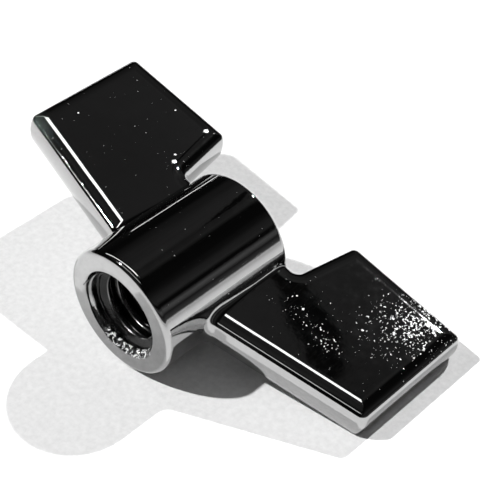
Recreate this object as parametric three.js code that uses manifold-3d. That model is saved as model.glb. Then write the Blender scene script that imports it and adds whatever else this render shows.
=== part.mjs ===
// Wing nut, M8 x 1.25, lying on its side as it comes to rest on a table.
//
// Two pieces:
//   wing_casting     cylindrical hub with two flat wings, one die casting
//   threaded_insert  steel bush with the internal thread, cast into the hub
//
// The nut is modelled with its thread axis along Y, the clamping face at y = 0 and the wings
// in the XY plane. It is then rolled about its own axis until the right wing tip meets the
// table, and placed with the table at z = 0 and the middle of its length at y = 0.
// Units are millimetres, +Z is up.

import * as THREE from 'three';
import { mergeVertices } from 'three/addons/utils/BufferGeometryUtils.js';
import Module from 'manifold-3d';

// ---- driving dimensions -------------------------------------------------------------------
const HUB_R = 6.5;            // hub outside radius
const HUB_L = 15.8;           // hub length
const HUB_EDGE = 0.55;        // rounding of both hub ends

const WING_T = 3.7;           // wing thickness
const CROWN_W = 1.4;          // width of the rounded border of the wing's flats
const CROWN_H = 0.6;          // height that the border falls, a quarter ellipse
const SIDE_BULGE = 0.45;      // how far the wings' sides stand out at mid-thickness
const WING_OUT = 22.77;       // axis to wing tip
const WING_TOP = 22.75;       // clamping face to the end of the wings
const TIP_FRONT_Y = 8.36;     // front corner of the tip, measured from the clamping face
const SWEEP = 0.21;           // slope of the wing's front edge
const EAR_IN = 8.81;          // axis to the ear's inner side, at the end of the wings
const EAR_FLARE = 0.177;      // slope of the ear's inner side
const TIP_CORNER_R = 0.8;     // plan corners
const NOTCH_R = 0.5;          // inner corner beside the hub
const FILLET_R = 1.0;         // fillet where the wings run into the hub

const MOUTH_R = 4.45;         // countersink at the face
const LEAD_R = 4.1;           // plain lead-in
const LEAD_L = 1.0;           // depth of the lead-in
const SEAT_R = 5.3;           // seat of the bush

const THREAD_MAJOR_R = 4.0;   // M8
const THREAD_MINOR_R = 3.323;
const PITCH = 1.25;
const BUSH_R = 4.95;          // over the knurl
const KNURL_DEPTH = 0.22;
const KNURL_TEETH = 20;
const GAP = 0.3;              // clearance left round the bush

const THREAD_SEGMENTS = 24;   // per turn
const HUB_SEGMENTS = 56;

// Half of the wing's section, as (drawn in by, height): the bulged side, then the rounded border.
const sideInset = (z) => SIDE_BULGE * (z / (WING_T / 2)) ** 2;
function halfSection(sideSteps, crownSteps) {
  const z0 = WING_T / 2 - CROWN_H;
  const out = [];
  for (let i = 0; i < sideSteps; i++) out.push([sideInset(z0 * i / sideSteps), z0 * i / sideSteps]);
  for (let i = 0; i <= crownSteps; i++) {
    const a = (Math.PI / 2) * i / crownSteps;
    const z = z0 + CROWN_H * Math.sin(a);
    out.push([CROWN_W * (1 - Math.cos(a)) + sideInset(z), z]);
  }
  return out;
}

// Roll about the thread axis at which the hub's side and the rounded wing tip both touch the table.
function tipDepth(roll) {
  return Math.max(...halfSection(2, 5).map(([w, z]) => (WING_OUT - w) * Math.sin(roll) + z * Math.cos(roll)));
}
let lo = 0, hi = Math.PI / 4;
for (let i = 0; i < 50; i++) {
  const mid = (lo + hi) / 2;
  if (tipDepth(mid) < HUB_R) lo = mid; else hi = mid;
}
const REST_ROLL = (lo + hi) / 2;

// ---- solids -------------------------------------------------------------------------------
const wasm = await Module();
wasm.setup();

function solid(geometry) {
  const g = geometry.index ? geometry.clone() : geometry;
  g.deleteAttribute('normal');
  g.deleteAttribute('uv');
  const m = mergeVertices(g, 1e-4);
  const p = m.attributes.position;
  const tri = [];
  const a = new THREE.Vector3(), b = new THREE.Vector3(), c = new THREE.Vector3();
  let volume = 0;
  for (let i = 0; i < m.index.count; i += 3) {
    const [i0, i1, i2] = [m.index.getX(i), m.index.getX(i + 1), m.index.getX(i + 2)];
    if (i0 === i1 || i1 === i2 || i0 === i2) continue;
    tri.push(i0, i1, i2);
    a.fromBufferAttribute(p, i0);
    b.fromBufferAttribute(p, i1);
    c.fromBufferAttribute(p, i2);
    volume += a.dot(b.cross(c)) / 6;
  }
  if (volume < 0) for (let i = 0; i < tri.length; i += 3) [tri[i], tri[i + 1]] = [tri[i + 1], tri[i]];
  return new wasm.Manifold(new wasm.Mesh({
    numProp: 3,
    vertProperties: new Float32Array(p.array),
    triVerts: new Uint32Array(tri),
  }));
}

function geometryOf(manifold) {
  const mesh = manifold.getMesh();
  const g = new THREE.BufferGeometry();
  g.setAttribute('position', new THREE.BufferAttribute(new Float32Array(mesh.vertProperties), 3));
  g.setIndex(new THREE.BufferAttribute(new Uint32Array(mesh.triVerts), 1));
  g.computeVertexNormals();
  return g;
}

const lathe = (points, segments) =>
  new THREE.LatheGeometry(points.map(([r, y]) => new THREE.Vector2(r, y)), segments);

// Closed outline through the corners, drawn in by inset and each corner rounded by what is left of
// its own radius. An inward corner (negative radius) grows rounder as the outline is drawn in.
function insetOutline(corners, inset, k = 5) {
  const n = corners.length;
  const edge = corners.map(([x, y], i) => {
    const [nx, ny] = corners[(i + 1) % n];
    const d = new THREE.Vector2(nx - x, ny - y).normalize();
    const normal = new THREE.Vector2(-d.y, d.x);           // inwards, the corners run anticlockwise
    return { p: new THREE.Vector2(x, y).addScaledVector(normal, inset), d, normal };
  });
  const points = [];
  for (let i = 0; i < n; i++) {
    const e0 = edge[(i + n - 1) % n], e1 = edge[i];
    const w = e1.p.clone().sub(e0.p);
    const t = w.cross(e1.d) / e0.d.cross(e1.d);
    const corner = e0.p.clone().addScaledVector(e0.d, t);
    const r0 = corners[i][2];
    const r = r0 >= 0 ? Math.max(r0 - inset, 0.02) : r0 - inset;
    const centre = corner.clone();
    const mid = e0.normal.clone().add(e1.normal).normalize();
    centre.addScaledVector(mid, r / mid.dot(e0.normal));
    const a0 = Math.atan2(-e0.normal.y * Math.sign(r), -e0.normal.x * Math.sign(r));
    let a1 = Math.atan2(-e1.normal.y * Math.sign(r), -e1.normal.x * Math.sign(r));
    while (a1 - a0 > Math.PI) a1 -= 2 * Math.PI;
    while (a1 - a0 < -Math.PI) a1 += 2 * Math.PI;
    for (let j = 0; j <= k; j++) {
      const a = a0 + (a1 - a0) * j / k;
      points.push(new THREE.Vector2(centre.x + Math.abs(r) * Math.cos(a), centre.y + Math.abs(r) * Math.sin(a)));
    }
  }
  return points;
}

// ---- wing casting -------------------------------------------------------------------------
function hub() {
  const edge = (cy, from) => {
    const pts = [];
    for (let i = 0; i <= 4; i++) {
      const a = from + (Math.PI / 2) * i / 4;
      pts.push([HUB_R - HUB_EDGE + HUB_EDGE * Math.cos(a), cy + HUB_EDGE * Math.sin(a)]);
    }
    return pts;
  };
  return solid(lathe([
    [0, 0],
    ...edge(HUB_EDGE, -Math.PI / 2),
    ...edge(HUB_L - HUB_EDGE, 0),
    [0, HUB_L],
  ], HUB_SEGMENTS));
}

// Both wings and the web between them, seen along Z.
function wings() {
  const frontY = (u) => TIP_FRONT_Y - SWEEP * (WING_OUT - u);
  const innerX = (y) => EAR_IN - EAR_FLARE * (WING_TOP - y);
  const webY = HUB_L - 0.15;
  const right = [
    [WING_OUT, TIP_FRONT_Y, TIP_CORNER_R],
    [WING_OUT, WING_TOP, TIP_CORNER_R],
    [EAR_IN, WING_TOP, TIP_CORNER_R],
    [innerX(webY), webY, -NOTCH_R],
  ];
  const left = right.map(([x, y, r]) => [-x, y, r]).reverse();
  const corners = [[0, frontY(0), 0.02], ...right, ...left];
  // Rings from the middle of the underside's border, round the side, to the border of the top.
  const rings = halfSection(2, 5);
  const section = [...rings.slice(1).map(([w, z]) => [w, -z]).reverse(), ...rings];
  const outline = section.map(([w]) => insetOutline(corners, w));
  const m = outline[0].length;
  const position = [];
  const index = [];
  outline.forEach((points, i) => points.forEach((q) => position.push(q.x, q.y, section[i][1])));
  for (let i = 0; i + 1 < outline.length; i++) {
    for (let j = 0; j < m; j++) {
      const a = i * m + j, b = i * m + (j + 1) % m;
      index.push(a, b, b + m, a, b + m, a + m);
    }
  }
  const last = (outline.length - 1) * m;
  for (const [a, b, c] of THREE.ShapeUtils.triangulateShape(outline[0], [])) {
    index.push(a, c, b);
    index.push(last + a, last + b, last + c);
  }
  const g = new THREE.BufferGeometry();
  g.setAttribute('position', new THREE.BufferAttribute(new Float32Array(position), 3));
  g.setIndex(index);
  return solid(g);
}

// One concave fillet between the hub's side and a wing's flat, as a bar along Y.
function fillet(sx, sz) {
  const cz = WING_T / 2 + FILLET_R;
  const cx = Math.sqrt((HUB_R + FILLET_R) ** 2 - cz ** 2);
  const a0 = Math.atan2(-cz, -cx);
  const pts = [[4.6, WING_T / 2 - 0.5], [cx, WING_T / 2 - 0.5]];
  for (let i = 0; i <= 6; i++) {
    const a = -Math.PI / 2 + (a0 + Math.PI / 2) * i / 6;
    pts.push([cx + FILLET_R * Math.cos(a), cz + FILLET_R * Math.sin(a)]);
  }
  const shape = new THREE.Shape(pts.map(([x, z]) => new THREE.Vector2(sx * x, sz * z)));
  const y0 = TIP_FRONT_Y - SWEEP * (WING_OUT - HUB_R) + CROWN_W * 0.7;
  const y1 = HUB_L - HUB_EDGE;
  const g = new THREE.ExtrudeGeometry(shape, { depth: y1 - y0, bevelEnabled: false });
  g.rotateX(Math.PI / 2);             // extrusion now runs towards -Y, the section's y is Z
  g.translate(0, y1, 0);
  return solid(g);
}

// Bore of the casting: countersink, plain lead-in and seat of the bush, the same at both ends.
function castingBore() {
  const slope = MOUTH_R - LEAD_R;
  return solid(lathe([
    [0, -0.6],
    [MOUTH_R + 0.6, -0.6],
    [LEAD_R, slope],
    [LEAD_R, LEAD_L],
    [SEAT_R, LEAD_L],
    [SEAT_R, HUB_L - LEAD_L],
    [LEAD_R, HUB_L - LEAD_L],
    [LEAD_R, HUB_L - slope],
    [MOUTH_R + 0.6, HUB_L + 0.6],
    [0, HUB_L + 0.6],
  ], HUB_SEGMENTS));
}

let casting = hub().add(wings());
for (const sx of [1, -1]) for (const sz of [1, -1]) casting = casting.add(fillet(sx, sz));
casting = casting.subtract(castingBore());

// ---- threaded insert ----------------------------------------------------------------------
// Solid with an external helical thread: the space the insert leaves open.
function threadCore(y0, turns) {
  const N = THREAD_SEGMENTS;
  const flank = (THREAD_MAJOR_R - THREAD_MINOR_R) * Math.tan(Math.PI / 6);
  const root = PITCH / 8;
  const profile = [
    [THREAD_MINOR_R, 0],
    [THREAD_MINOR_R, PITCH - root - 2 * flank],
    [THREAD_MAJOR_R, PITCH - root - flank],
    [THREAD_MAJOR_R, PITCH - flank],
  ];
  const steps = N * turns;
  const position = [];
  const index = [];
  for (let s = 0; s <= steps + N; s++) {
    const a = 2 * Math.PI * s / N;
    for (const [r, y] of profile) {
      position.push(r * Math.cos(a), y0 + y + PITCH * s / N, -r * Math.sin(a));
    }
  }
  const v = (s, q) => s * 4 + q;
  const quad = (p, q, r, t) => index.push(p, q, r, p, r, t);
  for (let s = 0; s < steps; s++) {
    for (let q = 0; q < 3; q++) quad(v(s, q), v(s + 1, q), v(s + 1, q + 1), v(s, q + 1));
    quad(v(s, 3), v(s + 1, 3), v(s + 1 + N, 0), v(s + N, 0));
  }
  const bottom = position.length / 3;
  position.push(0, y0, 0);
  const top = bottom + 1;
  position.push(0, y0 + PITCH * (turns + 1), 0);
  for (let s = 0; s < N; s++) {
    index.push(bottom, v(s + 1, 0), v(s, 0));
    index.push(top, v(steps + s, 0), v(steps + s + 1, 0));
  }
  for (let q = 0; q < 3; q++) {
    index.push(bottom, v(0, q), v(0, q + 1));
    index.push(top, v(steps, q + 1), v(steps, q));
  }
  index.push(bottom, v(0, 3), v(N, 0));
  index.push(top, v(steps + N, 0), v(steps, 3));
  const g = new THREE.BufferGeometry();
  g.setAttribute('position', new THREE.BufferAttribute(new Float32Array(position), 3));
  g.setIndex(index);
  return solid(g);
}

const BUSH_Y0 = LEAD_L + GAP;
const BUSH_Y1 = HUB_L - LEAD_L - GAP;

function bushBlank() {
  const pts = [];
  for (let i = 0; i < KNURL_TEETH; i++) {
    for (const [f, r] of [[0, BUSH_R - KNURL_DEPTH], [0.35, BUSH_R], [0.65, BUSH_R]]) {
      const a = 2 * Math.PI * (i + f) / KNURL_TEETH;
      pts.push(new THREE.Vector2(r * Math.cos(a), r * Math.sin(a)));
    }
  }
  const g = new THREE.ExtrudeGeometry(new THREE.Shape(pts), { depth: BUSH_Y1 - BUSH_Y0, bevelEnabled: false });
  g.rotateX(Math.PI / 2);
  g.translate(0, BUSH_Y1, 0);
  // Plain groove round the middle, which keeps the bush from pulling out.
  const mid = (BUSH_Y0 + BUSH_Y1) / 2;
  const groove = solid(lathe([
    [BUSH_R - 0.45, mid - 0.9],
    [BUSH_R + 0.5, mid - 1.4],
    [BUSH_R + 0.5, mid + 1.4],
    [BUSH_R - 0.45, mid + 0.9],
    [BUSH_R - 0.45, mid - 0.9],
  ], 40));
  return solid(g).subtract(groove);
}

// Entry chamfer of the thread at one end.
function entry(y, dir) {
  const r = THREAD_MAJOR_R + 0.12;
  return solid(lathe([
    [0, y - dir * 0.4],
    [r + 0.4, y - dir * 0.4],
    [r - 1.2, y + dir * 1.2],
    [0, y + dir * 1.2],
  ], HUB_SEGMENTS));
}

const turns = Math.ceil((BUSH_Y1 - BUSH_Y0) / PITCH) + 1;
const insert = bushBlank()
  .subtract(threadCore(BUSH_Y0 - PITCH * 0.9, turns))
  .subtract(entry(BUSH_Y0, 1))
  .subtract(entry(BUSH_Y1, -1));

// ---- scene graph --------------------------------------------------------------------------
const castingMesh = new THREE.Mesh(geometryOf(casting), new THREE.MeshStandardMaterial({
  color: 0xd4d6d8, metalness: 1.0, roughness: 0.06,
}));
castingMesh.name = 'wing_casting';

const insertMesh = new THREE.Mesh(geometryOf(insert), new THREE.MeshStandardMaterial({
  color: 0xb9babb, metalness: 1.0, roughness: 0.22,
}));
insertMesh.name = 'threaded_insert';

const nut = new THREE.Group();
nut.add(castingMesh, insertMesh);
nut.rotation.y = REST_ROLL;
nut.position.set(0, -WING_TOP / 2, HUB_R);

const wingNut = new THREE.Group();
wingNut.add(nut);

export default wingNut;
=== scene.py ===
import math
import bpy
import numpy as np
from mathutils import Matrix, Vector


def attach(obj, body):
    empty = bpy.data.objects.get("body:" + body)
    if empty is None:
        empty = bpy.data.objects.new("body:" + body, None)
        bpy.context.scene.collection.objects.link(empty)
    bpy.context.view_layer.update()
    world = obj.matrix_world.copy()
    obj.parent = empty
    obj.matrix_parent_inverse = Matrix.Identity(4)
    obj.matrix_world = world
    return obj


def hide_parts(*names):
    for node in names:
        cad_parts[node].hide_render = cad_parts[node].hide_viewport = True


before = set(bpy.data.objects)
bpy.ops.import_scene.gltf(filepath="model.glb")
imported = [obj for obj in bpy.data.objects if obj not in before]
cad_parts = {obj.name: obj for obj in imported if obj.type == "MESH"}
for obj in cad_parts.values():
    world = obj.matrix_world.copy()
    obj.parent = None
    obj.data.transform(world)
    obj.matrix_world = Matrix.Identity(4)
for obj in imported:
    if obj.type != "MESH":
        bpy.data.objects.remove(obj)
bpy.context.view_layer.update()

# ------------------------------------------------------------------------------------------
# Dimensions, in millimetres in the nut's own frame: X towards the right wing, Y along the
# thread from the clamping face, Z square to the wings.
# ------------------------------------------------------------------------------------------
HUB_R, HUB_L, HUB_EDGE = 6.5, 15.8, 0.55
WING_T, CROWN_W, CROWN_H = 3.7, 1.4, 0.6
SIDE_BULGE = 0.45
WING_OUT = WING_TOP = 22.75
TIP_FRONT_Y, SWEEP = 8.37, 0.21
EAR_IN, EAR_FLARE = 8.82, 0.177
TIP_R, NOTCH_R = 0.8, 0.5
FILLET_FRONT, FILLET_BACK = 0.75, 0.28
WEB_Y = HUB_L - 0.12
MOUTH_R, LEAD_R, LEAD_L, SEAT_R = 4.45, 4.1, 1.0, 5.3
MAJOR_R, MINOR_R, PITCH = 4.0, 3.323, 1.25
BUSH_R, GAP = 4.95, 0.3


def side_inset(z):
    """How far the wings' bulged sides draw in, away from mid-thickness."""
    return SIDE_BULGE * np.minimum(np.abs(z) / (WING_T / 2), 1.3) ** 2


def tip_depth(t):
    a = np.linspace(0, math.pi / 2, 400)
    z = WING_T / 2 - CROWN_H * (1 - np.sin(a))
    x = WING_OUT - CROWN_W * (1 - np.cos(a)) - side_inset(z)
    return float((x * math.sin(t) + z * math.cos(t)).max())


lo_t, hi_t = 0.0, math.pi / 4
for _ in range(50):
    mid_t = (lo_t + hi_t) / 2
    if tip_depth(mid_t) < HUB_R:
        lo_t = mid_t
    else:
        hi_t = mid_t
ROLL = (lo_t + hi_t) / 2
ROT = np.array([[math.cos(ROLL), 0, math.sin(ROLL)], [0, 1, 0], [-math.sin(ROLL), 0, math.cos(ROLL)]])
SHIFT = np.array([0, -WING_TOP / 2, HUB_R])


def to_world(p):
    return (np.asarray(p, float) @ ROT.T + SHIFT) / 1000.0


def turn(d):
    return np.asarray(d, float) @ ROT.T


# ------------------------------------------------------------------------------------------
# The casting as a distance field
# ------------------------------------------------------------------------------------------
def round_union(a, b, r):
    return np.maximum(r, np.minimum(a, b)) - np.hypot(np.maximum(r - a, 0), np.maximum(r - b, 0))


def round_cut(a, b, r):
    return np.minimum(-r, np.maximum(a, b)) + np.hypot(np.maximum(r + a, 0), np.maximum(r + b, 0))


def plan(x, y):
    u = np.abs(x)
    front = (SWEEP * (u - WING_OUT) + TIP_FRONT_Y - y) / math.hypot(1, SWEEP)
    out = u - WING_OUT
    back = y - WING_TOP
    ear = (EAR_IN - EAR_FLARE * (WING_TOP - y) - u) / math.hypot(1, EAR_FLARE)
    notch = round_union(y - WEB_Y, ear, NOTCH_R)
    d = round_cut(front, out, TIP_R)
    d = round_cut(d, back, TIP_R)
    return round_cut(d, notch, TIP_R)


def plate(x, y, z):
    edge = plan(x, y) + side_inset(z)
    qx = np.maximum(edge + CROWN_W, 0) / CROWN_W
    qz = np.maximum(np.abs(z) - (WING_T / 2 - CROWN_H), 0) / CROWN_H
    q = np.hypot(qx, qz)
    g = np.hypot(qx / CROWN_W, qz / CROWN_H)
    out = (q - 1) * q / np.maximum(g, 1e-6)
    deep = np.maximum(edge + CROWN_W, np.abs(z) - (WING_T / 2 - CROWN_H)) - CROWN_H
    return np.where(g < 1e-6, deep, out)


def body(x, y, z):
    p = plate(x, y, z)
    cyl = np.hypot(x, z) - HUB_R
    slab = np.abs(y - HUB_L / 2) - HUB_L / 2
    fillet = FILLET_FRONT + (FILLET_BACK - FILLET_FRONT) * np.clip((y - 6.0) / 5.0, 0, 1)
    return np.minimum(round_cut(round_union(cyl, p, fillet), slab, HUB_EDGE), p)


def grad(p, e=2e-3):
    x, y, z = p.T
    g = np.stack([body(x + e, y, z) - body(x - e, y, z),
                  body(x, y + e, z) - body(x, y - e, z),
                  body(x, y, z + e) - body(x, y, z - e)], 1) / (2 * e)
    return g


def unit(v):
    return v / np.maximum(np.linalg.norm(v, axis=1, keepdims=True), 1e-12)


def surface_net(h):
    lo = np.array([-WING_OUT - 1.1, -1.07, -HUB_R - 1.03])
    hi = np.array([WING_OUT + 1.1, WING_TOP + 1.1, HUB_R + 1.1])
    n = np.ceil((hi - lo) / h).astype(int) + 1
    ax = [lo[i] + h * np.arange(n[i]) for i in range(3)]
    X, Y, Z = np.meshgrid(*ax, indexing="ij", sparse=True)
    f = body(X + 0 * Y + 0 * Z, Y + 0 * X + 0 * Z, Z + 0 * X + 0 * Y)
    s = f < 0
    # crossings along each axis, and the mean of the crossings in each cell
    acc = np.zeros((n[0] - 1, n[1] - 1, n[2] - 1, 3))
    cnt = np.zeros((n[0] - 1, n[1] - 1, n[2] - 1))
    cross = []
    for a in range(3):
        sl0 = [slice(None)] * 3
        sl1 = [slice(None)] * 3
        sl0[a], sl1[a] = slice(0, -1), slice(1, None)
        f0, f1 = f[tuple(sl0)], f[tuple(sl1)]
        c = (f0 < 0) != (f1 < 0)
        idx = np.argwhere(c)
        t = f0[c] / (f0[c] - f1[c])
        pos = lo + h * idx
        pos[:, a] += h * t
        cross.append((idx, f0[c] < 0))
        b, d = [i for i in range(3) if i != a]
        for ob in (0, 1):
            for od in (0, 1):
                cell = idx.copy()
                cell[:, b] -= ob
                cell[:, d] -= od
                k = tuple(cell.T)
                np.add.at(acc, k, pos)
                np.add.at(cnt, k, 1)
    used = cnt > 0
    vid = -np.ones(cnt.shape, int)
    vid[used] = np.arange(used.sum())
    v = acc[used] / cnt[used][:, None]
    quads = []
    for a in range(3):
        idx, inside = cross[a]
        b, d = (a + 1) % 3, (a + 2) % 3
        ring = []
        for ob, od in ((1, 1), (0, 1), (0, 0), (1, 0)):
            cell = idx.copy()
            cell[:, b] -= ob
            cell[:, d] -= od
            ring.append(vid[tuple(cell.T)])
        q = np.stack(ring, 1)
        q[~inside] = q[~inside][:, ::-1]
        quads.append(q)
    q = np.concatenate(quads)
    nb = np.zeros_like(v)
    nc = np.zeros(len(v))
    for _ in range(4):
        for _ in range(3):
            g = grad(v)
            gg = np.maximum((g ** 2).sum(1), 0.05)
            v = v - g * np.clip(body(*v.T) / gg, -h, h)[:, None]
        nb[:] = 0
        nc[:] = 0
        for i in range(4):
            for j in (1, 3):
                np.add.at(nb, q[:, i], v[q[:, (i + j) % 4]])
                np.add.at(nc, q[:, i], 1)
        step = nb / nc[:, None] - v
        nn = unit(grad(v))
        step -= nn * (step * nn).sum(1)[:, None]
        v = v + 0.5 * step
    for _ in range(4):
        g = grad(v)
        gg = np.maximum((g ** 2).sum(1), 0.05)
        v = v - g * np.clip(body(*v.T) / gg, -h, h)[:, None]
    return v, q


def mesh_object(name, verts, faces, smooth=True):
    me = bpy.data.meshes.new(name)
    me.from_pydata(np.asarray(verts).tolist(), [], faces if isinstance(faces, list) else faces.tolist())
    me.validate()
    me.update()
    if smooth:
        me.polygons.foreach_set("use_smooth", [True] * len(me.polygons))
    ob = bpy.data.objects.new(name, me)
    bpy.context.scene.collection.objects.link(ob)
    return ob


def lathe(profile, segments):
    """Closed solid of revolution about Y through (radius, y) points, the first and last on the axis."""
    k = len(profile)
    verts, faces = [], []
    inner = profile[1:-1]
    m = len(inner)
    for s in range(segments):
        a = 2 * math.pi * s / segments
        for r, y in inner:
            verts.append((r * math.cos(a), y, r * math.sin(a)))
    verts.append((0, profile[0][1], 0))
    verts.append((0, profile[-1][1], 0))
    p0, p1 = len(verts) - 2, len(verts) - 1
    for s in range(segments):
        t = (s + 1) % segments
        for i in range(m - 1):
            faces.append((s * m + i, s * m + i + 1, t * m + i + 1, t * m + i))
        faces.append((p0, s * m, t * m))
        faces.append((p1, t * m + m - 1, s * m + m - 1))
    return np.array(verts), faces


# ---- bore of the casting: rounded mouth, countersink, plain lead-in and the bush's seat ----
EDGE = 0.12


def bore_profile():
    half = []
    m = MOUTH_R + EDGE
    half.append((m, -1.0))
    for i in range(7):
        a = math.pi / 2 * i / 6
        half.append((m - EDGE * math.sin(a), EDGE - EDGE * math.cos(a)))
    half.append((LEAD_R + 0.03, 0.42))
    half.append((LEAD_R, 0.52))
    half.append((LEAD_R, LEAD_L))
    half.append((SEAT_R, LEAD_L))
    other = [(r, HUB_L - y) for r, y in reversed(half)]
    return [(0, -1.0)] + half + other + [(0, HUB_L + 1.0)]


def cast_mesh():
    v, q = surface_net(0.15)
    ob = mesh_object("wing_casting_body", v, q)
    cv, cf = lathe(bore_profile(), 192)
    cut = mesh_object("bore_cutter", cv, cf)
    # outward faces for both solids
    for o in (ob, cut):
        me = o.data
        me.calc_loop_triangles()
        tri = np.zeros(len(me.loop_triangles) * 3, int)
        me.loop_triangles.foreach_get("vertices", tri)
        co = np.zeros(len(me.vertices) * 3)
        me.vertices.foreach_get("co", co)
        co = co.reshape(-1, 3)
        t = tri.reshape(-1, 3)
        vol = np.einsum("ij,ij->i", co[t[:, 0]], np.cross(co[t[:, 1]], co[t[:, 2]])).sum() / 6
        if vol < 0:
            me.flip_normals()
        print("solid", o.name, "volume mm3", round(abs(vol), 1), "faces", len(me.polygons))
    mod = ob.modifiers.new("bore", "BOOLEAN")
    mod.operation = "DIFFERENCE"
    mod.object = cut
    mod.solver = "MANIFOLD"
    dg = bpy.context.evaluated_depsgraph_get()
    done = bpy.data.meshes.new_from_object(ob.evaluated_get(dg))
    ob.modifiers.clear()
    bpy.data.objects.remove(cut)
    co = np.zeros(len(done.vertices) * 3)
    done.vertices.foreach_get("co", co)
    co = co.reshape(-1, 3)
    nl = len(done.loops)
    lv = np.zeros(nl, int)
    done.loops.foreach_get("vertex_index", lv)
    ls = np.zeros(len(done.polygons), int)
    lt = np.zeros(len(done.polygons), int)
    done.polygons.foreach_get("loop_start", ls)
    done.polygons.foreach_get("loop_total", lt)
    ce = np.zeros(len(done.polygons) * 3)
    done.polygons.foreach_get("center", ce)
    ce = ce.reshape(-1, 3)
    fn = np.zeros(len(done.polygons) * 3)
    done.polygons.foreach_get("normal", fn)
    fn = fn.reshape(-1, 3)
    face_of = np.repeat(np.arange(len(done.polygons)), lt)
    order = np.concatenate([np.arange(a, a + b) for a, b in zip(ls, lt)]) if nl else []
    fol = np.zeros(nl, int)
    fol[order] = face_of
    rho = np.hypot(ce[:, 0], ce[:, 2])
    outside = np.abs(body(*ce.T)) < 0.012
    flat_end = (np.abs(fn[:, 1]) > 0.9999) & outside
    bore_face = ~outside | ((rho < MOUTH_R + EDGE) & ~flat_end)
    p = co[lv]
    n_out = unit(grad(p))
    # normals on the bore: follow the profile, which is smooth only round the mouth and the countersink
    e = np.hypot(p[:, 0], p[:, 2])
    rad = np.stack([p[:, 0] / np.maximum(e, 1e-9), np.zeros(nl), p[:, 2] / np.maximum(e, 1e-9)], 1)
    near = p[:, 1] < HUB_L / 2
    dist = np.where(near, p[:, 1], HUB_L - p[:, 1])
    sgn = np.where(near, -1.0, 1.0)
    fnl = fn[fol]
    # keep the face's slope in the (radius, y) plane and turn it smoothly round the axis
    fr = (fnl * rad).sum(1)
    n_in = unit(rad * fr[:, None] + np.stack([np.zeros(nl), fnl[:, 1], np.zeros(nl)], 1))
    lip = dist < EDGE + 1e-4
    ang = np.clip((MOUTH_R + EDGE - e) / EDGE, 0, 1)
    n_lip = unit(-rad * ang[:, None] + np.stack([np.zeros(nl), sgn * np.sqrt(1 - ang ** 2), np.zeros(nl)], 1))
    n_in = np.where(lip[:, None], n_lip, n_in)
    nrm = np.where(bore_face[fol][:, None], n_in, n_out)
    done.vertices.foreach_set("co", to_world(co).astype(np.float32).ravel())
    done.update()
    done.polygons.foreach_set("use_smooth", [True] * len(done.polygons))
    done.normals_split_custom_set(turn(nrm).tolist())
    # the nut's own coordinates, in millimetres, for the wear, dust, painted glints and painted shade
    at = done.attributes.new("nut_mm", "FLOAT_VECTOR", "POINT")
    at.data.foreach_set("vector", co.astype(np.float32).ravel())
    ob.data = done
    ob.name = "casting_chromed"
    done.name = "casting_chromed"
    return ob


# ------------------------------------------------------------------------------------------
# The steel bush: knurled outside, a real M8 x 1.25 thread inside
# ------------------------------------------------------------------------------------------
def insert_mesh():
    N = 144
    y0, y1 = LEAD_L + 0.02, HUB_L - LEAD_L - 0.02
    flank = (MAJOR_R - MINOR_R) * math.tan(math.pi / 6)
    root = PITCH / 8
    crest = PITCH - root - 2 * flank

    def radius(s):
        """Thread radius at s pitches along, with slightly softened crests and roots."""
        t = (s % 1.0) * PITCH
        e = 0.05
        k = [(0, MINOR_R), (crest, MINOR_R), (crest + flank, MAJOR_R), (crest + flank + root, MAJOR_R), (PITCH, MINOR_R)]
        val = 0
        for w in (-e, -e / 2, 0, e / 2, e):
            x = (t + w) % PITCH
            for (a, ra), (b, rb) in zip(k, k[1:]):
                if a <= x <= b:
                    val += ra + (rb - ra) * (x - a) / (b - a)
                    break
        return val / 5

    # samples per pitch, closer at the crest's and root's edges
    marks = sorted({round(m, 5) for m in (
        0, 0.05, crest * 0.5, crest - 0.05, crest, crest + 0.05, crest + flank * 0.5, crest + flank - 0.05, crest + flank,
        crest + flank + 0.05, crest + flank + root - 0.05, crest + flank + root, crest + flank + root + 0.05,
        PITCH - flank * 0.5, PITCH - 0.05)})
    marks = [m for m in marks if 0 <= m < PITCH]
    turns = int(math.ceil((y1 - y0) / PITCH)) + 2
    ys = np.array([i * PITCH + m for i in range(-1, turns) for m in marks])
    rs = np.array([radius(y / PITCH) for y in ys])
    start = y0 - PITCH * 0.9
    verts = []
    M = len(ys)
    ang = 2 * np.pi * np.arange(N) / N
    cham = 0.3
    for s in range(N):
        shift = start + PITCH * s / N
        yy = shift + ys
        rr = rs.copy()
        # entry chamfers open the thread at both ends
        for yend, sg in ((y0, 1), (y1, -1)):
            dd = (yy - yend) * sg
            rr = np.maximum(rr, np.where(dd < 0.5, MAJOR_R + 0.06 - 2.2 * np.maximum(dd, 0), 0))
        yy = np.clip(yy, y0, y1)
        c, si = math.cos(ang[s]), -math.sin(ang[s])
        for r, y in zip(rr, yy):
            verts.append((r * c, y, r * si))
    faces = []
    # going once round moves one pitch along, which is len(marks) samples
    K = len(marks)
    for s in range(N):
        t = (s + 1) % N
        off = K if t == 0 else 0
        for i in range(M - 1):
            j0, j1 = i + (off and off), i + 1 + (off and off)
            if j1 >= M:
                continue
            faces.append((s * M + i, t * M + j0, t * M + j1, s * M + i + 1))
    return np.array(verts), faces, M, N, y0, y1


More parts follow.
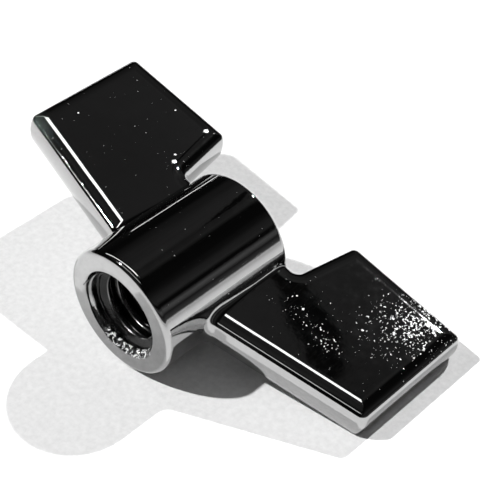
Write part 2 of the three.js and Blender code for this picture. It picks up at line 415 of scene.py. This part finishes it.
def build_insert():
    v, f, M, N, y0, y1 = insert_mesh()
    # outside: knurled bush with a groove, and the two end rings
    segs = 240
    teeth = 40
    prof = [(y0, 0), (y0 + 0.25, 1), (6.4, 1), (6.9, -1), (7.9, -2), (8.9, -1), (9.4, 1), (y1 - 0.25, 1), (y1, 0)]
    ov = []
    for s in range(segs):
        a = 2 * math.pi * s / segs
        tooth = 0.5 + 0.5 * math.cos(teeth * a)
        for y, k in prof:
            if k == 1:
                r = BUSH_R - 0.2 * (1 - tooth)
            elif k == 0:
                r = BUSH_R - 0.26
            elif k == -1:
                r = BUSH_R - 0.4
            else:
                r = BUSH_R - 0.45
            ov.append((r * math.cos(a), y, -r * math.sin(a)))
    P = len(prof)
    of_ = []
    for s in range(segs):
        t = (s + 1) % segs
        for i in range(P - 1):
            of_.append((s * P + i, s * P + i + 1, t * P + i + 1, t * P + i))
    base = len(v)
    verts = np.concatenate([v, np.array(ov)])
    faces = list(f) + [tuple(base + k for k in q) for q in of_]
    # end rings, from the chamfer's mouth out to the bush's edge
    for yend, row, flip in ((y0, 0, False), (y1, P - 1, True)):
        ring_in = len(verts)
        r_in = MAJOR_R + 0.06
        ringv = []
        for s in range(segs):
            a = 2 * math.pi * s / segs
            ringv.append((r_in * math.cos(a), yend, -r_in * math.sin(a)))
        verts = np.concatenate([verts, np.array(ringv)])
        for s in range(segs):
            t = (s + 1) % segs
            q = (ring_in + s, base + s * P + row, base + t * P + row, ring_in + t)
            faces.append(q[::-1] if flip else q)
    ob = mesh_object("insert_threaded", to_world(verts), faces)
    me = ob.data
    me.normals_split_custom_set_from_vertices([(0, 0, 0)] * len(me.vertices)) if False else None
    at = me.attributes.new("nut_mm", "FLOAT_VECTOR", "POINT")
    at.data.foreach_set("vector", verts.astype(np.float32).ravel())
    me.set_sharp_from_angle(angle=math.radians(38))
    return ob


casting = cast_mesh()
insert = build_insert()


# ------------------------------------------------------------------------------------------
# Materials
# ------------------------------------------------------------------------------------------
class Nodes:
    def __init__(self, name):
        self.mat = bpy.data.materials.new(name)
        self.mat.use_nodes = True
        self.t = self.mat.node_tree
        self.t.nodes.clear()
        self.out = self.t.nodes.new("ShaderNodeOutputMaterial")
        self.bsdf = self.t.nodes.new("ShaderNodeBsdfPrincipled")
        self.t.links.new(self.bsdf.outputs[0], self.out.inputs[0])

    def new(self, kind, **kw):
        n = self.t.nodes.new(kind)
        for k, v in kw.items():
            setattr(n, k, v)
        return n

    def link(self, a, b):
        self.t.links.new(a, b)

    def put(self, sock, v):
        if hasattr(v, "is_output") or hasattr(v, "links"):
            self.link(v, sock)
        else:
            sock.default_value = v

    def math(self, op, a, b=None, c=None, clamp=False):
        n = self.new("ShaderNodeMath", operation=op, use_clamp=clamp)
        self.put(n.inputs[0], a)
        if b is not None:
            self.put(n.inputs[1], b)
        if c is not None:
            self.put(n.inputs[2], c)
        return n.outputs[0]

    def coords(self, scale=(1, 1, 1), rot=(0, 0, 0), loc=(0, 0, 0)):
        if not hasattr(self, "_mm"):
            a = self.new("ShaderNodeAttribute", attribute_name="nut_mm")
            self._mm = a.outputs["Vector"]
        m = self.new("ShaderNodeMapping")
        self.link(self._mm, m.inputs[0])
        m.inputs["Scale"].default_value = scale
        m.inputs["Rotation"].default_value = rot
        m.inputs["Location"].default_value = loc
        return m.outputs[0]

    def noise(self, vec, scale, detail=2.0, rough=0.5, dist=0.0):
        n = self.new("ShaderNodeTexNoise")
        self.link(vec, n.inputs["Vector"])
        n.inputs["Scale"].default_value = scale
        n.inputs["Detail"].default_value = detail
        n.inputs["Roughness"].default_value = rough
        n.inputs["Distortion"].default_value = dist
        return n.outputs["Fac"]

    def ramp(self, fac, lo, hi, a=0.0, b=1.0):
        n = self.new("ShaderNodeMapRange")
        self.put(n.inputs["Value"], fac)
        n.inputs["From Min"].default_value = lo
        n.inputs["From Max"].default_value = hi
        n.inputs["To Min"].default_value = a
        n.inputs["To Max"].default_value = b
        return n.outputs[0]


def vec(m, op, a, b=None):
    n = m.new("ShaderNodeVectorMath", operation=op)
    m.put(n.inputs[0], a)
    if b is not None:
        m.put(n.inputs[1], b)
    return n


def specks(m, p, scale, density, size, jitter=0.6, stretch=None):
    """Small separate grains, one at most in each cell: density is the share of cells that hold one, size their radius in mm."""
    v = m.new("ShaderNodeTexVoronoi", feature="F1", voronoi_dimensions="3D")
    m.link(p, v.inputs["Vector"])
    v.inputs["Scale"].default_value = scale
    col = m.new("ShaderNodeSeparateColor")
    m.link(v.outputs["Color"], col.inputs[0])
    there = m.math("LESS_THAN", col.outputs[0], density)
    r = m.math("MULTIPLY", m.math("ADD", m.math("MULTIPLY", col.outputs[1], jitter), 1.0 - jitter), size * scale)
    inside = m.math("SUBTRACT", r, v.outputs["Distance"])
    edge = m.math("MULTIPLY", inside, 1.0 / (0.35 * size * scale), clamp=True)
    return m.math("MULTIPLY", edge, there)


def near(m, p, x, y, rx, ry):
    """1 at that place on the wings, fading to 0 at the ellipse rx by ry, in mm."""
    sep = m.new("ShaderNodeSeparateXYZ")
    m.link(p, sep.inputs[0])
    dx = m.math("DIVIDE", m.math("SUBTRACT", sep.outputs[0], x), rx)
    dy = m.math("DIVIDE", m.math("SUBTRACT", sep.outputs[1], y), ry)
    d = m.math("SQRT", m.math("ADD", m.math("MULTIPLY", dx, dx), m.math("MULTIPLY", dy, dy)))
    return m.math("SUBTRACT", 1.0, d, clamp=True)


def chrome():
    m = Nodes("chrome_plate")
    p = m.coords()
    sep = m.new("ShaderNodeSeparateXYZ")
    m.link(p, sep.inputs[0])
    x, y, z = sep.outputs
    rho = m.math("SQRT", m.math("ADD", m.math("MULTIPLY", x, x), m.math("MULTIPLY", z, z)))
    bore = m.ramp(rho, 4.95, 4.5)                          # the cut mouth and countersink
    ring = m.math("MULTIPLY", m.ramp(y, 0.16, 0.02), m.ramp(rho, 6.25, 6.0))

    # where dust and pits gather and where the painted glints cluster: the far outer corner of the right wing, thinly
    # everywhere else
    wear_and_glint_area = m.math("ADD", m.math("MULTIPLY", near(m, p, 18.7, 20.3, 6.2, 6.5), 0.80),
                  m.math("MULTIPLY", near(m, p, 17.0, 13.5, 7.0, 7.0), 0.30))
    wear_and_glint_area = m.math("ADD", wear_and_glint_area, m.math("MULTIPLY", near(m, p, 10.5, 12.5, 4.5, 4.0), 0.30))
    wear_and_glint_area = m.math("ADD", wear_and_glint_area, m.math("MULTIPLY", near(m, p, -9.3, 16.5, 2.8, 3.6), 0.30))
    patchy = m.ramp(m.noise(p, 0.55, 2.0, 0.6), 0.42, 0.62)
    dens = m.math("ADD", m.math("MULTIPLY", wear_and_glint_area, m.math("ADD", m.math("MULTIPLY", patchy, 0.7), 0.3)), 0.003)
    fine = specks(m, p, 3.6, m.math("MULTIPLY", dens, 0.75), 0.048)
    big = specks(m, m.coords(loc=(3.3, 1.7, 0.4)), 1.25, m.math("MULTIPLY", dens, 0.13), 0.085, 0.5)
    # short scratches that hold dust, at two slants
    cut1 = specks(m, m.coords(scale=(2.2, 0.38, 1.0), rot=(0, 0, 0.35), loc=(1.0, 4.0, 0)), 1.1, m.math("MULTIPLY", dens, 0.16), 0.10, 0.4)
    cut2 = specks(m, m.coords(scale=(0.42, 2.3, 1.0), rot=(0, 0, 0.5), loc=(7.0, 2.0, 0)), 1.0, m.math("MULTIPLY", dens, 0.10), 0.10, 0.4)
    dust_and_glints = m.math("MAXIMUM", m.math("MAXIMUM", fine, big), m.math("MAXIMUM", cut1, cut2))
    # painted glints: small pale worm-like flecks on the blistered plating, thick in the worn corner
    glint_fleck_bias = m.math("ADD", m.math("MULTIPLY", near(m, p, 18.6, 19.8, 5.6, 7.6), 0.150), m.math("MULTIPLY", wear_and_glint_area, 0.118))
    glint_fleck_bias = m.math("ADD", glint_fleck_bias, m.math("MULTIPLY", near(m, p, 11.6, 12.2, 4.2, 1.7), 0.085))
    glint_fleck_bias = m.math("ADD", glint_fleck_bias, m.math("MULTIPLY", near(m, p, 15.0, 11.5, 3.0, 1.9), 0.130))
    glint_fleck = m.math("ADD", m.noise(m.coords(scale=(1.0, 0.8, 1.0), rot=(0, 0, 0.5), loc=(6, 1, 2)), 4.6, 1.5, 0.55, 0.5), glint_fleck_bias)
    glint_fleck = m.math("MULTIPLY", m.ramp(glint_fleck, 0.775, 0.805), m.ramp(z, 1.2, 1.6))
    dust_and_glints = m.math("MAXIMUM", dust_and_glints, glint_fleck)
    # painted glints round the lower lip of the bore: pale flecks on the torn metal, with painted dark reflection
    # between them
    lip = m.math("MULTIPLY", m.ramp(y, 0.75, 0.60), m.math("MULTIPLY", m.ramp(z, -0.6, -2.2), m.ramp(x, -1.6, -0.6)))
    lip = m.math("MULTIPLY", lip, m.ramp(rho, 4.75, 4.66))
    lip_glint_noise = m.noise(m.coords(loc=(3, 9, 4)), 3.1, 2.0, 0.6, 0.6)
    glint = m.math("MULTIPLY", lip, m.ramp(lip_glint_noise, 0.535, 0.56))
    lip_painted_dark = m.math("MULTIPLY", lip, m.ramp(lip_glint_noise, 0.53, 0.50))
    dust_and_glints = m.math("MAXIMUM", dust_and_glints, glint)
    # larger pale spots at fixed places: painted glints
    wn = m.noise(p, 2.4, 2.0, 0.6)
    for cx, cy, cz, r in ((-10.45, 21.1, 1.85, 0.24), (-9.4, 15.7, 1.85, 0.24), (-10.0, 16.4, 1.85, 0.12), (-5.37, 13.6, 3.66, 0.13),
                          (10.97, 12.74, 1.85, 0.12), (9.59, 13.38, 1.85, 0.11),
                          (6.35, 14.35, 2.45, 0.26), (20.3, 21.0, 1.85, 0.34), (19.7, 20.8, 1.85, 0.26), (20.6, 20.5, 1.85, 0.20), (19.2, 20.2, 1.85, 0.14), (21.3, 22.1, 1.5, 0.14),
                          (16.1, 15.4, 1.85, 0.13), (-14.4, 20.6, 1.85, 0.10), (-19.9, 12.4, 1.85, 0.09)):
        d = vec(m, "DISTANCE", p, (cx, cy, cz)).outputs["Value"]
        d = m.math("ADD", d, m.math("MULTIPLY", m.math("SUBTRACT", wn, 0.5), r * 2.2))
        dust_and_glints = m.math("MAXIMUM", dust_and_glints, m.ramp(d, r, r * 0.7))

    # relief, in mm: slow ripple of the polished casting, fine grain of the plating, pits and hairlines
    h = m.math("MULTIPLY", m.noise(p, 0.22, 1.0, 0.4), 0.016)
    h = m.math("ADD", h, m.math("MULTIPLY", m.noise(m.coords(loc=(9, 2, 5)), 0.9, 2.0, 0.5), 0.0022))
    h = m.math("ADD", h, m.math("MULTIPLY", m.noise(p, 5.0, 3.0, 0.6), 0.00018))
    h = m.math("ADD", h, m.math("MULTIPLY", dust_and_glints, 0.010))
    pits = specks(m, m.coords(loc=(5, 8, 1)), 2.3, m.math("ADD", m.math("MULTIPLY", dens, 0.6), 0.012), 0.08)
    h = m.math("SUBTRACT", h, m.math("MULTIPLY", pits, 0.006))
    hair = m.math("MULTIPLY", m.ramp(m.noise(m.coords(scale=(9.0, 0.5, 1.0), rot=(0, 0, 0.6)), 1.3, 1.0, 0.5), 0.64, 0.70), 0.0006)
    h = m.math("SUBTRACT", h, hair)
    burr = m.math("MULTIPLY", m.noise(m.coords(loc=(2, 2, 2)), 3.0, 3.0, 0.65), m.math("ADD", 0.02, m.math("MULTIPLY", lip, 0.22)))
    h = m.math("ADD", h, m.math("MULTIPLY", burr, bore))
    # a nick across the ring
    seg = m.new("ShaderNodeMapping", vector_type="POINT")
    m.link(p, seg.inputs[0])
    seg.inputs["Location"].default_value = (4.40, 0.0, -0.35)
    sx = vec(m, "DOT_PRODUCT", seg.outputs[0], (0.37, 0.0, 0.93)).outputs["Value"]
    sz = vec(m, "DOT_PRODUCT", seg.outputs[0], (0.93, 0.0, -0.37)).outputs["Value"]
    nick = m.math("MULTIPLY", m.ramp(m.math("ABSOLUTE", sx), 1.0, 0.8), m.ramp(m.math("ABSOLUTE", sz), 0.09, 0.03))
    nick = m.math("MULTIPLY", nick, m.ramp(y, 0.2, 0.05))
    h = m.math("SUBTRACT", h, m.math("MULTIPLY", nick, 0.05))
    bump = m.new("ShaderNodeBump")
    bump.inputs["Strength"].default_value = 1.0
    bump.inputs["Distance"].default_value = 0.001
    m.link(h, bump.inputs["Height"])
    m.link(bump.outputs[0], m.bsdf.inputs["Normal"])

    # tone: clean plating, painted shade on the clamping ring darkening towards its lower right, smudges, and the pale
    # dust and painted glints
    smudge = m.ramp(m.noise(m.coords(loc=(4, 4, 4)), 0.6, 3.0, 0.6), 0.35, 0.75)
    # painted shade: the clamping ring darkens towards its lower right, with smudges on top
    ring_shade_and_smudge = m.math("MULTIPLY", ring, m.math("ADD", m.math("MULTIPLY", m.ramp(m.math("SUBTRACT", x, z), -2.0, 7.5), 0.34),
                                               m.math("MULTIPLY", smudge, 0.10)))
    tone = m.math("SUBTRACT", 0.435, m.math("MULTIPLY", smudge, 0.03))
    tone = m.math("MULTIPLY", tone, m.math("SUBTRACT", 1.0, ring_shade_and_smudge))
    tone = m.math("MULTIPLY", tone, m.math("SUBTRACT", 1.0, m.math("MULTIPLY", bore, 0.08)))
    # painted dark reflection: the lip's metal is darkened between its painted glints
    tone = m.math("MULTIPLY", tone, m.math("SUBTRACT", 1.0, m.math("MULTIPLY", lip_painted_dark, 0.75)))
    tone = m.math("MULTIPLY", tone, m.math("SUBTRACT", 1.0, m.math("MULTIPLY", nick, 0.6)))
    grey = m.new("ShaderNodeCombineColor")
    for i in range(3):
        m.link(tone, grey.inputs[i])
    # pale dust and painted glints laid over the plating
    mix = m.new("ShaderNodeMix", data_type="RGBA")
    m.link(dust_and_glints, mix.inputs["Factor"])
    m.link(grey.outputs[0], mix.inputs["A"])
    mix.inputs["B"].default_value = (0.88, 0.88, 0.88, 1)
    m.link(mix.outputs["Result"], m.bsdf.inputs["Base Color"])
    m.link(m.math("SUBTRACT", 1.0, dust_and_glints), m.bsdf.inputs["Metallic"])
    rough = m.math("ADD", 0.022, m.math("MULTIPLY", m.ramp(m.noise(m.coords(loc=(1, 6, 3)), 1.1, 3.0, 0.6), 0.4, 0.8), 0.030))
    rough = m.math("ADD", rough, m.math("MULTIPLY", ring, 0.05))
    rough = m.math("ADD", rough, m.math("MULTIPLY", bore, 0.04))
    rough = m.math("ADD", rough, m.math("MULTIPLY", dust_and_glints, 0.5))
    m.link(rough, m.bsdf.inputs["Roughness"])
    return m.mat


def steel():
    m = Nodes("bush_steel")
    p = m.coords()
    sep = m.new("ShaderNodeSeparateXYZ")
    m.link(p, sep.inputs[0])
    x, y, z = sep.outputs
    rho = m.math("SQRT", m.math("ADD", m.math("MULTIPLY", x, x), m.math("MULTIPLY", z, z)))
    crest = m.ramp(rho, 3.43, 3.34)                        # lighter on the crests, near-black in the roots
    stain = m.noise(p, 0.8, 3.0, 0.6)
    tone = m.math("ADD", 0.018, m.math("MULTIPLY", crest, 0.20))
    tone = m.math("ADD", tone, m.math("MULTIPLY", stain, 0.035))
    grey = m.new("ShaderNodeCombineColor")
    for i in range(3):
        m.link(tone, grey.inputs[i])
    m.link(grey.outputs[0], m.bsdf.inputs["Base Color"])
    m.bsdf.inputs["Metallic"].default_value = 1.0
    m.link(m.math("ADD", 0.16, m.math("MULTIPLY", stain, 0.16)), m.bsdf.inputs["Roughness"])
    h = m.math("MULTIPLY", m.noise(p, 2.6, 3.0, 0.6), 0.035)
    turned = m.noise(m.coords(scale=(0.2, 6.0, 0.2)), 2.0, 2.0, 0.5)
    h = m.math("ADD", h, m.math("MULTIPLY", turned, 0.003))
    bump = m.new("ShaderNodeBump")
    bump.inputs["Strength"].default_value = 1.0
    bump.inputs["Distance"].default_value = 0.001
    m.link(h, bump.inputs["Height"])
    m.link(bump.outputs[0], m.bsdf.inputs["Normal"])
    return m.mat


casting.data.materials.clear()
casting.data.materials.append(chrome())
insert.data.materials.clear()
insert.data.materials.append(steel())

for ob, node, sl in ((casting, "wing_casting", "chrome_plate"), (insert, "threaded_insert", "bush_steel")):
    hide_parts(node)
    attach(ob, "root")

# ------------------------------------------------------------------------------------------
# Floor, light and camera
# ------------------------------------------------------------------------------------------
paper = Nodes("paper_floor")
grain_at = paper.new("ShaderNodeTexCoord")
grain = paper.noise(grain_at.outputs["Object"], 1700.0, 2.0, 0.6)
grain = paper.ramp(grain, 0.3, 0.7, 0.81, 0.91)
reach = vec(paper, "LENGTH", grain_at.outputs["Object"]).outputs["Value"]
grain = paper.math("MULTIPLY", grain, paper.ramp(reach, 0.036, 0.110, 1.0, 0.62))      # the lamps' light falls off
shade = paper.new("ShaderNodeCombineColor")
for i in range(3):
    paper.link(grain, shade.inputs[i])
paper.link(shade.outputs[0], paper.bsdf.inputs["Base Color"])
paper.bsdf.inputs["Roughness"].default_value = 0.9
paper.bsdf.inputs["Specular IOR Level"].default_value = 0.0
S = 0.35
floor = mesh_object("floor", [(-S, -S, 0), (S, -S, 0), (S, S, 0), (-S, S, 0)], [(0, 1, 2, 3)], smooth=False)
floor.data.materials.append(paper.mat)

world = bpy.data.worlds.new("studio")
bpy.context.scene.world = world
world.use_nodes = True
W = Nodes.__new__(Nodes)
W.t = world.node_tree
bg = W.t.nodes["Background"]
# A dim room: broad dark and less dark bays overhead, side to side, and one dark beam
tc = W.new("ShaderNodeTexCoord")
ws = W.new("ShaderNodeSeparateXYZ")
W.link(tc.outputs["Generated"], ws.inputs[0])
wx, wy, wz = ws.outputs
ang = W.math("MULTIPLY", W.math("ARCTAN2", wx, wz), 180 / math.pi)
bays = W.new("ShaderNodeValToRGB")
W.link(W.ramp(ang, -100, 100), bays.inputs[0])
stops = ((-90, 0.008), (-78, 0.006), (-60, 0.005), (-46, 0.018), (-22, 0.028), (-7, 0.034), (-2, 0.022), (7, 0.028), (13, 0.004),
         (32, 0.004), (42, 0.012), (57, 0.032), (62, 0.004), (66, 0.004), (72, 0.10), (75, 0.09), (80, 0.015), (85, 0.06), (91, 0.12))
el = bays.color_ramp.elements
while len(el) > 1:
    el.remove(el[-1])
el[0].position = (stops[0][0] + 100) / 200
el[0].color = (stops[0][1],) * 3 + (1,)
for a_, v_ in stops[1:]:
    e_ = el.new((a_ + 100) / 200)
    e_.color = (v_,) * 3 + (1,)
wz1 = W.math("MAXIMUM", wz, 0.02)
ca, cb = W.math("DIVIDE", wx, wz1), W.math("DIVIDE", wy, wz1)
line = W.math("ABSOLUTE", W.math("ADD", W.math("SUBTRACT", cb, 0.655), W.math("MULTIPLY", W.math("ADD", ca, 0.12), 0.32)))
beam = W.math("MULTIPLY", W.ramp(line, 0.024, 0.016), W.math("MULTIPLY", W.ramp(ca, -0.30, -0.26), W.ramp(ca, -0.055, -0.07)))
soft = W.ramp(W.noise(tc.outputs["Generated"], 5.0, 2.0, 0.5), 0.3, 0.7, 0.75, 1.25)
level = W.math("MULTIPLY", W.math("MULTIPLY", bays.outputs[0], soft), W.math("SUBTRACT", 1.0, W.math("MULTIPLY", beam, 0.85)))
ground = W.ramp(wz, 0.004, -0.004)
level = W.math("ADD", W.math("MULTIPLY", level, W.math("SUBTRACT", 1.0, ground)), W.math("MULTIPLY", ground, 0.55))
W.link(level, bg.inputs[1])
bg.inputs[0].default_value = (1, 1, 1, 1)


def area(name, direction, dist, size, power, glossy=True, size_y=None, along=None, diffuse=True):
    """A light in that direction and at that distance (m) from the nut, facing it. A strip lies along the given direction."""
    d = Vector(direction).normalized()
    L = bpy.data.lights.new(name, "AREA")
    L.energy = power
    L.shape = "RECTANGLE" if size_y else "DISK"
    L.size = size
    if size_y:
        L.size_y = size_y
    o = bpy.data.objects.new(name, L)
    bpy.context.scene.collection.objects.link(o)
    o.location = d * dist
    if along is None:
        o.rotation_mode = "QUATERNION"
        o.rotation_quaternion = d.to_track_quat("Z", "Y")
    else:
        x = Vector(along)
        x = (x - d * x.dot(d)).normalized()
        y = d.cross(x)
        o.matrix_world = Matrix(((x[0], y[0], d[0], d[0] * dist), (x[1], y[1], d[1], d[1] * dist),
                                 (x[2], y[2], d[2], d[2] * dist), (0, 0, 0, 1)))
    o.visible_glossy = glossy
    o.visible_diffuse = diffuse
    return o


def strip(name, a, b, dist, width, radiance):
    """A long bright tube between two directions, seen only in reflections."""
    a, b = Vector(a).normalized() * dist, Vector(b).normalized() * dist
    mid = (a + b) / 2
    L = (b - a).length
    return area(name, mid, mid.length, L, radiance * math.pi * L * width, glossy=True, size_y=width, along=b - a,
                diffuse=False)


area("key_front", (-0.45, -0.44, 0.78), 1.6, 0.05, 26.2)
area("key_back", (-0.03, 0.69, 0.72), 1.6, 0.026, 21.0)
area("fill", (0.1, 0.0, 1.0), 1.0, 1.4, 1.3, glossy=False)
strip("tube_a", (-0.86, 0.06, 0.51), (0.08, 0.35, 0.93), 0.9, 0.10, 3.0)
strip("tube_b", (-0.56, -0.50, 0.68), (0.25, -0.44, 0.86), 0.9, 0.07, 1.3)
strip("tube_c", (-0.868, 0.478, 0.135), (-0.75, 0.65, 0.135), 0.9, 0.025, 2.0)

cam_data = bpy.data.cameras.new("camera")
cam = bpy.data.objects.new("camera", cam_data)
bpy.context.scene.collection.objects.link(cam)
bpy.context.scene.camera = cam
cam_data.sensor_width = 36.0
cam_data.lens = 36.0 * 1383.9 / 500.0
cam_data.clip_start, cam_data.clip_end = 0.01, 5.0
right = turn((0.70358, 0.68919, 0.17320))
up = turn((-0.62324, 0.48136, 0.61633))
right /= np.linalg.norm(right)
up -= right * (up @ right)
up /= np.linalg.norm(up)
back = np.cross(right, up)
pos = to_world((47.59, -56.91, 102.08))
cam.matrix_world = Matrix(((right[0], up[0], back[0], pos[0]),
                           (right[1], up[1], back[1], pos[1]),
                           (right[2], up[2], back[2], pos[2]),
                           (0, 0, 0, 1)))

scene = bpy.context.scene
scene.view_settings.view_transform = "Standard"
scene.view_settings.look = "None"

bpy.context.view_layer.update()
